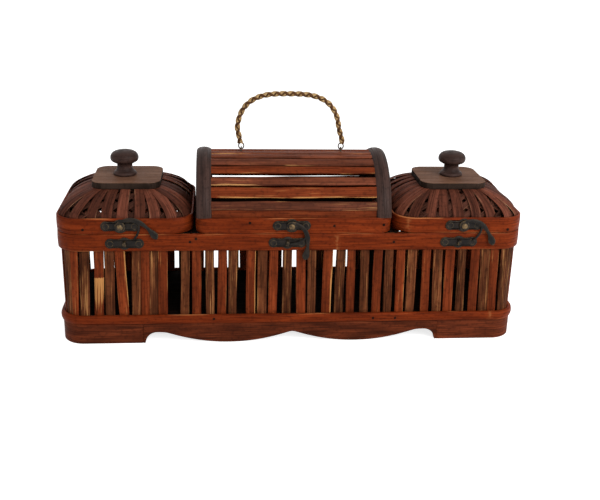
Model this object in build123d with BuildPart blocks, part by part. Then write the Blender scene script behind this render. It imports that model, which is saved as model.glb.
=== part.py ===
"""Bamboo tea box: a slatted chest on a scalloped skirt, with a woven dome lid at each
end and a barrel-vaulted lid between them, all hinged at the back.

Millimetres. X runs along the box, the front faces -Y and Z is up from the ground.
"""
import os
from math import asin, atan2, cos, degrees, pi, radians, sin, sqrt

from build123d import *

os.makedirs("parts", exist_ok=True)

# Box: bent hoops, upright slats and floor
rim_length = 460.0
rim_depth = 130.0
rim_corner = 22.5
rim_top = 115.4
rim_height = 17.0
hoop_wall = 2.5
fit_gap = 0.1
slat_wall = 2.2
slat_width = 8.6
slat_pitch = 12.0
slat_drop = 0.5
corner_slats = 3
lining_wall = 2.0
lining_height = 14.0
base_hoop_height = 9.0
base_hoop_wall = 4.0
floor_thickness = 7.0
divider_thickness = 4.0
divider_drop = 1.0

# Skirt: two scalloped aprons between the bent ends that make the feet
skirt_inset = 0.5
skirt_wall = 6.5
skirt_height = 21.5
apron_half = 148.5
foot_inner = 147.0
scallop_rise = 11.6
lobe_half = 63.5
crest_radius = 18.0

# Lids: bent bands
lid_gap = 0.5
band_height = 15.3
centre_lid_length = 191.6
centre_lid_corner = 12.0
lid_parting = 2.2

# Woven domes with cap plate and knob
dome_run = 30.0
dome_rise = 20.0
dome_bulge = 1.5
dome_foot = 3.0
dome_top_corner = 12.0
dome_steps = 3
corner_chords = 3
rib_wall = 1.0
rib_count = 24
rib_foot_width = 10.5
rib_head_width = 7.4
rib_cover = 5.0
lattice_wall = 1.0
lattice_pitch = 20.0
lattice_hole = 7.5
cap_length = 67.0
cap_depth = 66.0
cap_corner = 12.0
cap_thickness = 6.2
cap_chamfer = 1.2
knob_offset = 3.0
knob_height = 25.0
knob_foot_radius = 11.5
knob_foot_height = 2.2
knob_neck_radius = 6.4
knob_neck_height = 8.0
knob_under_radius = 8.6
knob_under_height = 12.8
knob_head_radius = 14.0
knob_head_height = 18.2
knob_crown_radius = 6.5
knob_crown_drop = 1.2
knob_bevel = 2.2

# Barrel vault of the centre lid
vault_ridge = 182.0
vault_slat_count = 15
vault_slat_width = 10.0
vault_slat_wall = 2.0
vault_slat_lift = 0.36
end_board_wall = 8.0
arch_width = 15.0
arch_rise = 2.6
arch_reed = 0.9
arch_inset = 0.6

# Bail handle
handle_half = 50.5
handle_rise = 55.8
handle_spring = 28.0
shoulder_radius = 22.0
grip_radius = 2.75
grip_sides = 10
grip_clearance = 0.3
wire_radius = 0.7
wire_sides = 6
facet_sides = 8
eye_size = 5.0
eye_height = 5.0
axis_lift = 2.2
staple_radius = 1.9
staple_sink = 1.5

# Swing-hook latches
latch_offset = 3.0
centre_latch_x = -3.0
pivot_rise = 8.1
plate_thickness = 1.2
plate_end = 13.5
plate_end_radius = 5.0
latch_plate_radius = 6.8
catch_plate_radius = 6.2
hook_gap = 0.3
hook_thickness = 2.2
boss_radius = 5.0
rivet_radius = 1.5
rivet_head_radius = 2.8
rivet_head_height = 1.0
running_gap = 0.05
prong_radius = 17.8
prong_width = 2.4
prong_root_angle = 24.0
prong_tip_angle = -33.0
tail_reach = 32.0
tail_radius = 3.8
arm_crown = 10.6
arm_belly = 6.2
arm_tip = 1.6
left_keeper_angle = -78.7
keeper_angle = -102.5
keeper_width = 3.0
keeper_wall = 1.2
keeper_clearance = 0.4
left_hook_angle = -13.1
centre_hook_angle = -63.0
right_hook_angle = -26.9

# Butt hinges at the back
leaf_width = 24.0
leaf_height = 12.0
leaf_thickness = 1.0
knuckle_radius = 2.2
knuckle_gap = 0.3
knuckle_standoff = 0.4
leaf_edge = 2.1
pin_radius = 1.2
centre_hinge_offset = 60.0

# Levels and outlines that follow from the sizes above
base_top = skirt_height + base_hoop_height
floor_top = skirt_height + floor_thickness
rim_bottom = rim_top - rim_height
lid_bottom = rim_top + lid_gap
lid_top = lid_bottom + band_height
cap_bottom = lid_top + dome_rise
cap_top = cap_bottom + cap_thickness
slat_length = rim_length - 2 * (hoop_wall + fit_gap)
slat_depth = rim_depth - 2 * (hoop_wall + fit_gap)
slat_corner = rim_corner - hoop_wall - fit_gap
inner_length = slat_length - 2 * (slat_wall + fit_gap)
inner_depth = slat_depth - 2 * (slat_wall + fit_gap)
inner_corner = slat_corner - slat_wall - fit_gap
side_lid_length = (rim_length - centre_lid_length) / 2 - lid_parting
side_lid_x = (rim_length - side_lid_length) / 2
skirt_length = rim_length - 2 * skirt_inset
skirt_depth = rim_depth - 2 * skirt_inset
skirt_corner = rim_corner - skirt_inset
latch_x = side_lid_x + latch_offset
pivot_height = lid_bottom + pivot_rise
front_plane = Plane.XZ.offset(rim_depth / 2)
sides = (("left", -1), ("right", 1))


def save(node, name):
    """Name a finished node and write its file."""
    node.part.label = name
    export_step(node.part, f"parts/{name}.step")


def bent_strip(length, depth, corner, wall):
    """Draw a strip bent round a rounded rectangle, measured on its outside."""
    RectangleRounded(length, depth, corner)
    RectangleRounded(length - 2 * wall, depth - 2 * wall, corner - wall, mode=Mode.SUBTRACT)


# Skirt: each apron has two hanging lobes between coved feet, with rounded crests
with BuildPart() as front_apron:
    with BuildSketch(Plane.XZ.offset(skirt_depth / 2 - skirt_wall)) as scallop:
        with BuildLine():
            cove_start = foot_inner - scallop_rise
            cove_mid = scallop_rise * sqrt(0.5)
            ThreePointArc((0, scallop_rise), (lobe_half, 0), (2 * lobe_half, scallop_rise))
            Line((2 * lobe_half, scallop_rise), (cove_start, scallop_rise))
            ThreePointArc(
                (cove_start, scallop_rise),
                (cove_start + cove_mid, cove_mid),
                (foot_inner, 0),
            )
            Line((foot_inner, 0), (apron_half, 0))
            Line((apron_half, 0), (apron_half, skirt_height))
            Line((apron_half, skirt_height), (0, skirt_height))
            mirror(about=Plane.YZ)
        make_face()
        crests = [
            scallop.vertices().sort_by_distance((x, scallop_rise))[0]
            for x in (-2 * lobe_half, 0, 2 * lobe_half)
        ]
        fillet(crests, crest_radius)
    extrude(amount=skirt_wall)
save(front_apron, "front_apron")

with BuildPart() as rear_apron:
    mirror(front_apron.part, about=Plane.XZ)
save(rear_apron, "rear_apron")

foot_run = skirt_length / 2 - apron_half
for name, side in sides:
    with BuildPart() as foot_skirt:
        with BuildSketch():
            bent_strip(skirt_length, skirt_depth, skirt_corner, skirt_wall)
            with Locations((side * (apron_half + foot_run / 2), 0)):
                Rectangle(foot_run, skirt_depth, mode=Mode.INTERSECT)
        extrude(amount=skirt_height)
    save(foot_skirt, f"{name}_foot_skirt")

# Floor board, standing on the skirt inside the slats
with BuildPart() as floor_board:
    with BuildSketch(Plane.XY.offset(skirt_height)):
        RectangleRounded(inner_length, inner_depth, inner_corner)
    extrude(amount=floor_thickness)
save(floor_board, "floor_board")

# Base hoop round the foot of the slats
with BuildPart() as base_hoop:
    with BuildSketch(Plane.XY.offset(skirt_height)):
        spread = base_hoop_wall + fit_gap
        bent_strip(
            slat_length + 2 * spread,
            slat_depth + 2 * spread,
            slat_corner + spread,
            base_hoop_wall,
        )
    extrude(amount=base_hoop_height)
save(base_hoop, "base_hoop")

# Upright slats: even rows along the straight walls, three round each corner
slat_height = rim_top - slat_drop - skirt_height
straight_front = slat_length / 2 - slat_corner
straight_end = slat_depth / 2 - slat_corner
front_reach = int(straight_front // slat_pitch)
end_reach = int(straight_end // slat_pitch)
front_rest = straight_front - front_reach * slat_pitch
end_rest = straight_end - end_reach * slat_pitch
corner_pitch = (front_rest + slat_corner * pi / 2 + end_rest) / (corner_slats + 1)
corner_first = degrees((corner_pitch - front_rest) / slat_corner)
corner_last = degrees((corner_pitch * corner_slats - front_rest) / slat_corner)

with BuildPart() as front_slats:
    with BuildSketch(Plane.XY.offset(skirt_height)):
        with Locations((0, -(slat_depth - slat_wall) / 2)):
            with GridLocations(slat_pitch, slat_pitch, 2 * front_reach + 1, 1):
                Rectangle(slat_width, slat_wall)
    extrude(amount=slat_height)
save(front_slats, "front_slats")

with BuildPart() as rear_slats:
    mirror(front_slats.part, about=Plane.XZ)
save(rear_slats, "rear_slats")

with BuildPart() as left_end_slats:
    with BuildSketch(Plane.XY.offset(skirt_height)):
        with Locations((-(slat_length - slat_wall) / 2, 0)):
            with GridLocations(slat_pitch, slat_pitch, 1, 2 * end_reach + 1):
                Rectangle(slat_wall, slat_width)
        for start, side in ((270 - corner_last, -1), (90 + corner_first, 1)):
            with Locations((-straight_front, side * straight_end)):
                with PolarLocations(
                    slat_corner - slat_wall / 2,
                    corner_slats,
                    start,
                    corner_last - corner_first,
                    endpoint=True,
                ):
                    Rectangle(slat_wall, slat_width)
        RectangleRounded(slat_length, slat_depth, slat_corner, mode=Mode.INTERSECT)
    extrude(amount=slat_height)
save(left_end_slats, "left_end_slats")

with BuildPart() as right_end_slats:
    mirror(left_end_slats.part, about=Plane.YZ)
save(right_end_slats, "right_end_slats")

# Rim hoop outside the slat heads and lining hoop inside them
with BuildPart() as rim_hoop:
    with BuildSketch(Plane.XY.offset(rim_bottom)):
        bent_strip(rim_length, rim_depth, rim_corner, hoop_wall)
    extrude(amount=rim_height)
save(rim_hoop, "rim_hoop")

with BuildPart() as rim_lining:
    with BuildSketch(Plane.XY.offset(rim_top - lining_height)):
        bent_strip(inner_length, inner_depth, inner_corner, lining_wall)
    extrude(amount=lining_height)
save(rim_lining, "rim_lining")

# Dividers under the two partings of the lids
divider_x = (centre_lid_length + lid_parting) / 2
divider_height = rim_top - divider_drop - floor_top
for name, side in sides:
    with BuildPart() as divider:
        with Locations((side * divider_x, 0, floor_top + divider_height / 2)):
            Box(divider_thickness, inner_depth - 2 * lining_wall, divider_height)
    save(divider, f"{name}_divider")


# Woven dome, drawn about its own centre: bottom outline inside the band, then level by
# level on a quarter curve, flatter than an ellipse, up to the flat under the cap plate
dome_length = side_lid_length - 2 * hoop_wall
dome_depth = rim_depth - 2 * hoop_wall
dome_corner = rim_corner - hoop_wall


def chorded_outline(length, depth, corner):
    """Points of a rounded rectangle with each corner drawn as a few straight chords."""
    points = []
    for quarter, (x_side, y_side) in enumerate(((1, 1), (-1, 1), (-1, -1), (1, -1))):
        for chord in range(corner_chords + 1):
            turn = pi / 2 * (quarter + chord / corner_chords)
            x = x_side * (length / 2 - corner) + corner * cos(turn)
            y = y_side * (depth / 2 - corner) + corner * sin(turn)
            points.append((x, y))
    return points


def dome_levels(inset):
    """Height and outline of each level, inset from the inside of the band."""
    turns = [pi / 2 * step / dome_steps for step in range(dome_steps + 1)]
    climb = [(lid_bottom + dome_foot, 0.0)]
    power = 2 / dome_bulge
    climb += [
        (lid_top + (dome_rise - inset) * sin(turn) ** power, 1 - cos(turn) ** power)
        for turn in turns
    ]
    levels = []
    for height, share in climb:
        reach = inset + (dome_run - inset) * share
        corner = dome_corner - inset - (dome_corner - dome_top_corner) * share
        outline = chorded_outline(dome_length - 2 * reach, dome_depth - 2 * reach, corner)
        levels.append((height, outline))
    return levels


def dome_shell(inset, wall):
    """Hollow dome layer of even wall."""
    with BuildPart() as shell:
        for height, outline in dome_levels(inset):
            with BuildSketch(Plane.XY.offset(height)):
                Polygon(*outline, align=None)
        loft(ruled=True)
        for height, outline in dome_levels(inset + wall):
            with BuildSketch(Plane.XY.offset(height)):
                Polygon(*outline, align=None)
        loft(ruled=True, mode=Mode.SUBTRACT)
    return shell.part


# Fanned ribs: tapered strips from the band up to under the cap plate
rib_foot = RectangleRounded(dome_length, dome_depth, dome_corner).wire()
rib_head = RectangleRounded(
    cap_length - 2 * rib_cover,
    cap_depth - 2 * rib_cover,
    cap_corner - rib_cover,
).wire()
rib_shell = dome_shell(fit_gap, rib_wall)
foot_start = rib_foot.param_at_point((0, -dome_depth / 2))
head_start = rib_head.param_at_point((0, -cap_depth / 2 + rib_cover))

with BuildPart() as dome_ribs:
    with BuildSketch(Plane.XY.offset(lid_bottom)):
        for rib in range(rib_count):
            turn = rib / rib_count
            foot_half = rib_foot_width / 2 / rib_foot.length
            head_half = rib_head_width / 2 / rib_head.length
            corners = [
                rib_foot @ ((foot_start + turn - foot_half) % 1),
                rib_foot @ ((foot_start + turn + foot_half) % 1),
                rib_head @ ((head_start + turn + head_half) % 1),
                rib_head @ ((head_start + turn - head_half) % 1),
            ]
            Polygon(*[(point.X, point.Y) for point in corners], align=None)
    extrude(amount=cap_top - lid_bottom)
    add(rib_shell, mode=Mode.INTERSECT)

# Crossing diagonal strips behind the ribs, left closed where the cap plate covers them
lattice_inset = 2 * fit_gap + rib_wall
lattice_shell = dome_shell(lattice_inset, lattice_wall)
hole_step = lattice_pitch * sqrt(2)
hole_count = int(dome_length // hole_step)
with BuildPart() as dome_lattice:
    with BuildSketch(Plane.XY.offset(lid_bottom)):
        RectangleRounded(dome_length, dome_depth, dome_corner)
        for count in (hole_count, hole_count - 1):
            with GridLocations(hole_step, hole_step, count, count):
                Rectangle(lattice_hole, lattice_hole, rotation=45, mode=Mode.SUBTRACT)
        Rectangle(cap_length - 2 * rib_cover, cap_depth - 2 * rib_cover)
    extrude(amount=cap_top - lid_bottom)
    add(lattice_shell, mode=Mode.INTERSECT)

# Turned knob: round foot, waisted neck and flattened ball head
with BuildPart() as turned_knob:
    with BuildSketch(Plane.XZ):
        with BuildLine():
            Polyline(
                (0, 0),
                (knob_foot_radius, 0),
                (knob_foot_radius, knob_foot_height),
                (knob_neck_radius, knob_neck_height),
                (knob_under_radius, knob_under_height),
                (knob_head_radius - knob_bevel, knob_head_height - knob_bevel),
                (knob_head_radius, knob_head_height),
                (knob_head_radius - knob_bevel, knob_head_height + knob_bevel),
                (knob_crown_radius, knob_height - knob_crown_drop),
                (0, knob_height),
                close=True,
            )
        make_face()
    revolve(axis=Axis.Z)

# Side lids: band, dome, cap plate and knob
for name, side in sides:
    lid_place = Location((side * side_lid_x, 0, 0))
    lid_plane = Plane.XY.offset(lid_bottom).moved(lid_place)
    with BuildPart() as lid_hoop:
        with BuildSketch(lid_plane):
            bent_strip(side_lid_length, rim_depth, rim_corner, hoop_wall)
        extrude(amount=band_height)
    save(lid_hoop, f"{name}_lid_hoop")

    with BuildPart() as ribs:
        add(dome_ribs.part.moved(lid_place))
    save(ribs, f"{name}_dome_ribs")

    with BuildPart() as lattice:
        add(dome_lattice.part.moved(lid_place))
    save(lattice, f"{name}_dome_lattice")

    with BuildPart() as cap_plate:
        with BuildSketch(Plane.XY.offset(cap_bottom).moved(lid_place)):
            RectangleRounded(cap_length, cap_depth, cap_corner)
        extrude(amount=cap_thickness)
        chamfer(cap_plate.faces().sort_by(Axis.Z)[-1].edges(), cap_chamfer)
    save(cap_plate, f"{name}_cap_plate")

    with BuildPart() as knob:
        add(turned_knob.part.moved(Location((side * (side_lid_x + knob_offset), 0, cap_top))))
    save(knob, f"{name}_knob")

# Centre lid: band
with BuildPart() as centre_lid_hoop:
    with BuildSketch(Plane.XY.offset(lid_bottom)):
        bent_strip(centre_lid_length, rim_depth, centre_lid_corner, hoop_wall)
    extrude(amount=band_height)
save(centre_lid_hoop, "centre_lid_hoop")

# Vault: a shallow arc sprung from the top of the band, with end boards, lengthwise slats
# laid over the boards and a reeded arch over each end
vault_spring = rim_depth / 2 - hoop_wall
vault_rise = vault_ridge - lid_top
vault_radius = (vault_spring**2 + vault_rise**2) / (2 * vault_rise)
vault_axis_height = vault_ridge - vault_radius
vault_axis = Axis((0, 0, vault_axis_height), (1, 0, 0))
vault_half = centre_lid_length / 2 - arch_inset
vault_foot = lid_top + fit_gap
board_radius = vault_radius - vault_slat_wall - fit_gap
board_edge = sqrt(board_radius**2 - (vault_foot - vault_axis_height) ** 2)
for name, side in sides:
    board_x = side * (vault_half - end_board_wall / 2) - end_board_wall / 2
    with BuildPart() as end_board:
        with BuildSketch(Plane.YZ.offset(board_x)):
            with BuildLine():
                Line((board_edge, vault_foot), (-board_edge, vault_foot))
                ThreePointArc(
                    (-board_edge, vault_foot),
                    (0, vault_axis_height + board_radius),
                    (board_edge, vault_foot),
                )
            make_face()
        extrude(amount=end_board_wall)
    save(end_board, f"{name}_end_board")

# The lower edge of the lowest slat stays clear of the band
edge_turn = atan2(vault_slat_width / 2, vault_radius - vault_slat_wall)
edge_radius = (vault_radius - vault_slat_wall) / cos(edge_turn)
edge_height = lid_top + vault_slat_lift - vault_axis_height
vault_end_angle = degrees(asin(edge_height / edge_radius) + edge_turn)
slat_turn = (180 - 2 * vault_end_angle) / (vault_slat_count - 1)
with BuildPart() as vault_slats:
    for slat in range(vault_slat_count):
        turn = vault_end_angle + slat * slat_turn
        with Locations(Plane.YZ.location * Location((0, vault_axis_height, 0), (0, 0, turn))):
            with Locations((vault_radius - vault_slat_wall / 2, 0, 0)):
                Box(vault_slat_wall, vault_slat_width, 2 * vault_half)
save(vault_slats, "vault_slats")

arch_inner = sqrt(vault_radius**2 + (vault_slat_width / 2) ** 2) + fit_gap
for name, side in sides:
    with BuildPart() as arch:
        with BuildSketch(Plane.XZ):
            with BuildLine():
                base = vault_axis_height + arch_inner
                outer = side * vault_half
                inner = side * (vault_half - arch_width)
                reed = side * arch_width / 4
                edge = base + arch_rise - arch_reed
                Polyline(
                    (inner, base),
                    (outer, base),
                    (outer - reed / 3, edge),
                    (outer - reed, edge),
                    (outer - 1.5 * reed, base + arch_rise),
                    (inner + 1.5 * reed, base + arch_rise),
                    (inner + reed, edge),
                    (inner + reed / 3, edge),
                    close=True,
                )
            make_face()
        revolve(axis=vault_axis)
        split(bisect_by=Plane.XY.offset(vault_foot), keep=Keep.TOP)
    save(arch, f"{name}_arch")

# Handle staples: bent wire straddling the hinge line, legs driven into the ridge slat
handle_axis_height = vault_ridge + axis_lift
staple_leg = axis_lift + staple_sink
with BuildPart() as handle_staples:
    for name, side in sides:
        with BuildLine() as staple_path:
            leg = Polyline(
                (side * handle_half, -staple_radius, handle_axis_height - staple_leg),
                (side * handle_half, -staple_radius, handle_axis_height + staple_radius),
                (side * handle_half, staple_radius, handle_axis_height + staple_radius),
                (side * handle_half, staple_radius, handle_axis_height - staple_leg),
            )
        with BuildSketch(Plane(leg @ 0, z_dir=(0, 0, 1))):
            RegularPolygon(wire_radius, wire_sides)
        sweep(path=staple_path.line, transition=Transition.RIGHT)
save(handle_staples, "handle_staples")

# Handle eyes: a straight bar through each staple, closed by a bow of the same wire
with BuildPart() as handle_eyes:
    for name, side in sides:
        with Locations((side * handle_half, 0, handle_axis_height)):
            Cylinder(wire_radius, eye_size + 2 * wire_radius, rotation=(0, 90, 0))
        with BuildLine() as bow_path:
            Polyline(
                (side * handle_half - eye_size / 2, 0, handle_axis_height),
                (side * handle_half - eye_size / 3, 0, handle_axis_height + eye_height),
                (side * handle_half + eye_size / 3, 0, handle_axis_height + eye_height),
                (side * handle_half + eye_size / 2, 0, handle_axis_height),
            )
        with BuildSketch(Plane(bow_path.line @ 0, z_dir=bow_path.line % 0)):
            RegularPolygon(wire_radius, wire_sides)
        sweep(path=bow_path.line, transition=Transition.RIGHT)
save(handle_eyes, "handle_eyes")

# Plaited grip: straight legs, tight shoulders and a flat crown
grip_foot = handle_axis_height + eye_height + wire_radius + grip_clearance
grip_crown = handle_axis_height + handle_rise
spring_height = grip_crown - handle_spring
shoulder_reach = handle_half - shoulder_radius
crown_radius = (shoulder_reach**2 + handle_spring**2 - shoulder_radius**2) / (
    2 * (handle_spring - shoulder_radius)
)
crown_share = crown_radius / (crown_radius - shoulder_radius)
join_x = shoulder_reach * crown_share
join_height = grip_crown - crown_radius + (crown_radius - handle_spring) * crown_share
with BuildPart() as handle_grip:
    with BuildLine(Plane.XZ) as grip_path:
        left_leg = Line((-handle_half, grip_foot), (-handle_half, spring_height))
        left_bend = TangentArc(left_leg @ 1, (-join_x, join_height), tangent=left_leg % 1)
        bow = TangentArc(left_bend @ 1, (join_x, join_height), tangent=left_bend % 1)
        right_bend = TangentArc(bow @ 1, (handle_half, spring_height), tangent=bow % 1)
        Line(right_bend @ 1, (handle_half, grip_foot))
    with BuildSketch(Plane(grip_path.line @ 0, z_dir=grip_path.line % 0)):
        RegularPolygon(grip_radius, grip_sides)
    sweep(path=grip_path.line)
save(handle_grip, "handle_grip")


# Swing-hook latches: plate and rivet on the lid, hook between them, catch on the rim
def lobed_plate(x, height, middle_radius):
    """Draw a plate outline with a round lobe at its middle and at each end."""
    with Locations((x, height)):
        Rectangle(2 * plate_end, 2 * plate_end_radius - 1)
        Circle(middle_radius)
        with GridLocations(2 * plate_end, 1, 2, 1):
            RegularPolygon(plate_end_radius, facet_sides)


hook_face = rim_depth / 2 + plate_thickness + hook_gap
latches = (
    ("left", -latch_x, left_hook_angle, left_keeper_angle),
    ("centre", centre_latch_x, centre_hook_angle, keeper_angle),
    ("right", latch_x, right_hook_angle, keeper_angle),
)
for name, x, tail_angle, catch_angle in latches:
    with BuildPart() as latch_plate:
        with BuildSketch(front_plane):
            lobed_plate(x, pivot_height, latch_plate_radius)
        extrude(amount=plate_thickness)
    save(latch_plate, f"{name}_latch_plate")

    with BuildPart() as latch_rivet:
        with BuildSketch(Plane.XZ.offset(rim_depth / 2 + plate_thickness)):
            with Locations((x, pivot_height)):
                Circle(rivet_radius)
        extrude(amount=hook_thickness + 2 * hook_gap)
        with BuildSketch(Plane.XZ.offset(hook_face + hook_thickness + hook_gap)):
            with Locations((x, pivot_height)):
                RegularPolygon(rivet_head_radius, facet_sides)
        extrude(amount=rivet_head_height, taper=25)
    save(latch_rivet, f"{name}_latch_rivet")

    along = (cos(radians(tail_angle)), 0, sin(radians(tail_angle)))
    hook_plane = Plane((x, -hook_face, pivot_height), x_dir=along, z_dir=(0, -1, 0))
    with BuildPart() as hook:
        with BuildSketch(hook_plane):
            with BuildLine():
                back = ThreePointArc(
                    (0, boss_radius),
                    (tail_reach * 0.4, arm_crown),
                    (tail_reach, arm_tip),
                )
                Line(back @ 1, (tail_reach, -arm_tip))
                belly = ThreePointArc(
                    (tail_reach, -arm_tip),
                    (tail_reach * 0.44, arm_belly),
                    (boss_radius, 0),
                )
                Line(belly @ 1, (0, boss_radius))
            make_face()
            with BuildLine():
                prong_turn = prong_tip_angle - prong_root_angle
                outside = CenterArc(
                    (0, 0), prong_radius + prong_width / 2, prong_root_angle, prong_turn
                )
                inside = CenterArc(
                    (0, 0), prong_radius - prong_width / 2, prong_root_angle, prong_turn
                )
                Line(outside @ 0, inside @ 0)
                Line(outside @ 1, inside @ 1)
            make_face()
            Circle(boss_radius)
            with Locations((tail_reach, 0)):
                RegularPolygon(tail_radius, facet_sides)
            Circle(rivet_radius + running_gap, mode=Mode.SUBTRACT)
        extrude(amount=hook_thickness)
    save(hook, f"{name}_hook")

    keeper_turn = radians(catch_angle)
    keeper_plane = Plane(
        (
            x + prong_radius * cos(keeper_turn),
            -rim_depth / 2 - plate_thickness,
            pivot_height + prong_radius * sin(keeper_turn),
        ),
        x_dir=(cos(keeper_turn), 0, sin(keeper_turn)),
        z_dir=(0, -1, 0),
    )
    keeper_slot = prong_width + 2 * keeper_clearance
    with BuildPart() as catch:
        with BuildSketch(front_plane):
            lobed_plate(keeper_plane.origin.X, keeper_plane.origin.Z, catch_plate_radius)
        extrude(amount=plate_thickness)
        with BuildSketch(keeper_plane):
            Rectangle(keeper_slot + 2 * keeper_wall, keeper_width)
        extrude(amount=hook_thickness + 2 * hook_gap + keeper_wall)
        with BuildSketch(keeper_plane):
            Rectangle(keeper_slot, 2 * keeper_width)
        extrude(amount=hook_thickness + 2 * hook_gap, mode=Mode.SUBTRACT)
    save(catch, f"{name}_catch")

# Butt hinges: box leaf with two knuckles and the riveted pin, lid leaf with one knuckle
hinge_y = rim_depth / 2 + knuckle_radius + knuckle_standoff
hinge_z = rim_top + lid_gap / 2
knuckle_length = leaf_width / 3
lid_hinges = {
    "left": (-side_lid_x,),
    "centre": (-centre_hinge_offset, centre_hinge_offset),
    "right": (side_lid_x,),
}
all_hinges = [x for places in lid_hinges.values() for x in places]


def hinge_leaf(x, up, knuckles):
    """Add one leaf: up is 1 above the pin or -1 below it; knuckles are (offset, length)."""
    web_depth = hinge_y - rim_depth / 2
    leaf_middle = hinge_z + up * (leaf_edge + leaf_height / 2)
    with Locations((x, rim_depth / 2 + leaf_thickness / 2, leaf_middle)):
        Box(leaf_width, leaf_thickness, leaf_height)
    for offset, length in knuckles:
        with BuildSketch(Plane.YZ.offset(x + offset - length / 2)) as barrel:
            with Locations((hinge_y, hinge_z)):
                RegularPolygon(knuckle_radius, facet_sides)
        extrude(barrel.sketch, amount=length)
        with Locations((x + offset, rim_depth / 2 + web_depth / 2, hinge_z + up * leaf_edge)):
            Box(length, web_depth, leaf_thickness)


with BuildPart() as hinge_box_leaves:
    for x in all_hinges:
        hinge_leaf(x, -1, [(side * knuckle_length, knuckle_length) for name, side in sides])
    with Locations(*[(x, hinge_y, hinge_z) for x in all_hinges]):
        Cylinder(pin_radius, leaf_width, rotation=(0, 90, 0))
save(hinge_box_leaves, "hinge_box_leaves")

for name, places in lid_hinges.items():
    with BuildPart() as hinge_lid_leaves:
        for x in places:
            hinge_leaf(x, 1, [(0, knuckle_length - 2 * knuckle_gap)])
        with Locations(*[(x, hinge_y, hinge_z) for x in places]):
            Cylinder(
                pin_radius + running_gap,
                leaf_width,
                rotation=(0, 90, 0),
                mode=Mode.SUBTRACT,
            )
    save(hinge_lid_leaves, f"{name}_hinge_leaves")
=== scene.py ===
import bpy
import numpy as np
from mathutils import Matrix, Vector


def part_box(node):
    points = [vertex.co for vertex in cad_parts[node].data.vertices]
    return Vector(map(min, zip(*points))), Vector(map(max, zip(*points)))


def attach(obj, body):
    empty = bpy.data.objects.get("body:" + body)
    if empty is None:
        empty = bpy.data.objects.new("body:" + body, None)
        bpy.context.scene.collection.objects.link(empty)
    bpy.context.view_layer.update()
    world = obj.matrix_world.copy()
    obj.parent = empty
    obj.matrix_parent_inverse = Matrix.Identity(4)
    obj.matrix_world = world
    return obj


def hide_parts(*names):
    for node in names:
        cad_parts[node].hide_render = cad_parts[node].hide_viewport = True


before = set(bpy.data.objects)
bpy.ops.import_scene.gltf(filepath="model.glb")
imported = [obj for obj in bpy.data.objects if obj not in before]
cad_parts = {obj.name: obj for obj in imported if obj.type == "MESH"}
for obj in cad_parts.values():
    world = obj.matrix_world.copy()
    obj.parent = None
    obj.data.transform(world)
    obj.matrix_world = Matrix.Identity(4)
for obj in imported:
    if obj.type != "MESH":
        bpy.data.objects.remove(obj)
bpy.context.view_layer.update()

# Skirt: two aprons sawn to a wavy lower edge, and a strip bent round each end that makes
# the feet. Dark stained wood with the grain along its length, glued under the base hoop.


def span(node):
    """Lowest and highest corner of a CAD node, in millimetres."""
    low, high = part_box(node)
    return np.array(low) * 1000, np.array(high) * 1000


def girth(length, depth, corner):
    """Length of line round a rounded rectangle."""
    return 2 * (length + depth) - 8 * corner + 2 * np.pi * corner


def bent_line(length, depth, corner, run):
    """Points and outward normals of a rounded rectangle at distances run along it, from the middle of
    its front towards +X: a centre slides round the rectangle of corner centres, the normal turns a
    quarter at each of them, and point = centre + corner * normal."""
    half_x, half_y, arc = length / 2 - corner, depth / 2 - corner, corner * np.pi / 2
    stages = np.cumsum([0, half_x, arc, 2 * half_y, arc, 2 * half_x, arc, 2 * half_y, arc, half_x])
    turns = np.array([-1, -1, 0, 0, 1, 1, 2, 2, 3, 3]) * np.pi / 2
    centre_x = np.array([0, 1, 1, 1, 1, -1, -1, -1, -1, 0]) * half_x
    centre_y = np.array([-1, -1, -1, 1, 1, 1, 1, -1, -1, -1]) * half_y
    run = np.mod(run, stages[-1])
    turn = np.interp(run, stages, turns)
    normal = np.stack([np.cos(turn), np.sin(turn), 0 * turn], -1)
    centre = np.stack([np.interp(run, stages, centre_x), np.interp(run, stages, centre_y), 0 * run], -1)
    return centre + corner * normal, normal


def plank(edge, drop, crown=0.0, facets=6):
    """Section of a strip with flat back at t = -1, sides at s = -1 and 1, broken corners edge wide and
    drop deep, and a face that curves from 1 - crown at its edges to 1 in the middle."""
    s = np.linspace(1 - edge, edge - 1, facets)
    face = np.stack([s, 1 - crown * (s / (1 - edge)) ** 2], -1)
    shoulder = 1 - crown - drop
    right = [(edge - 1, -1), (1 - edge, -1), (1, drop - 1), (1, shoulder)]
    return np.concatenate([right, face, [(-1, shoulder), (-1, drop - 1)]])


def quads_of(paths, steps, around, closed=False):
    """Quads over a grid of paths x steps x around: each joins a point to the next round the section and
    the next along the path. Open paths are capped by quads laddered across the section."""
    index = np.arange(paths * steps * around).reshape(paths, steps, around)
    here = index if closed else index[:, :-1]
    ahead = np.roll(index, -1, 1) if closed else index[:, 1:]
    walls = np.stack([here, np.roll(here, -1, 2), np.roll(ahead, -1, 2), ahead], -1).reshape(-1, 4)
    if closed:
        return walls
    rung = np.arange(around // 2 - 1)
    ladder = np.stack([rung, rung + 1, around - 2 - rung, around - 1 - rung], -1)
    top = index[:, -1][:, ladder].reshape(-1, 4)
    bottom = index[:, 0][:, ladder[:, ::-1]].reshape(-1, 4)
    return np.concatenate([walls, top, bottom])


def new_object(name, data):
    """Object in the scene that shows a mesh, a lamp or a camera."""
    made = bpy.data.objects.new(name, data)
    bpy.context.scene.collection.objects.link(made)
    return made


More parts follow.
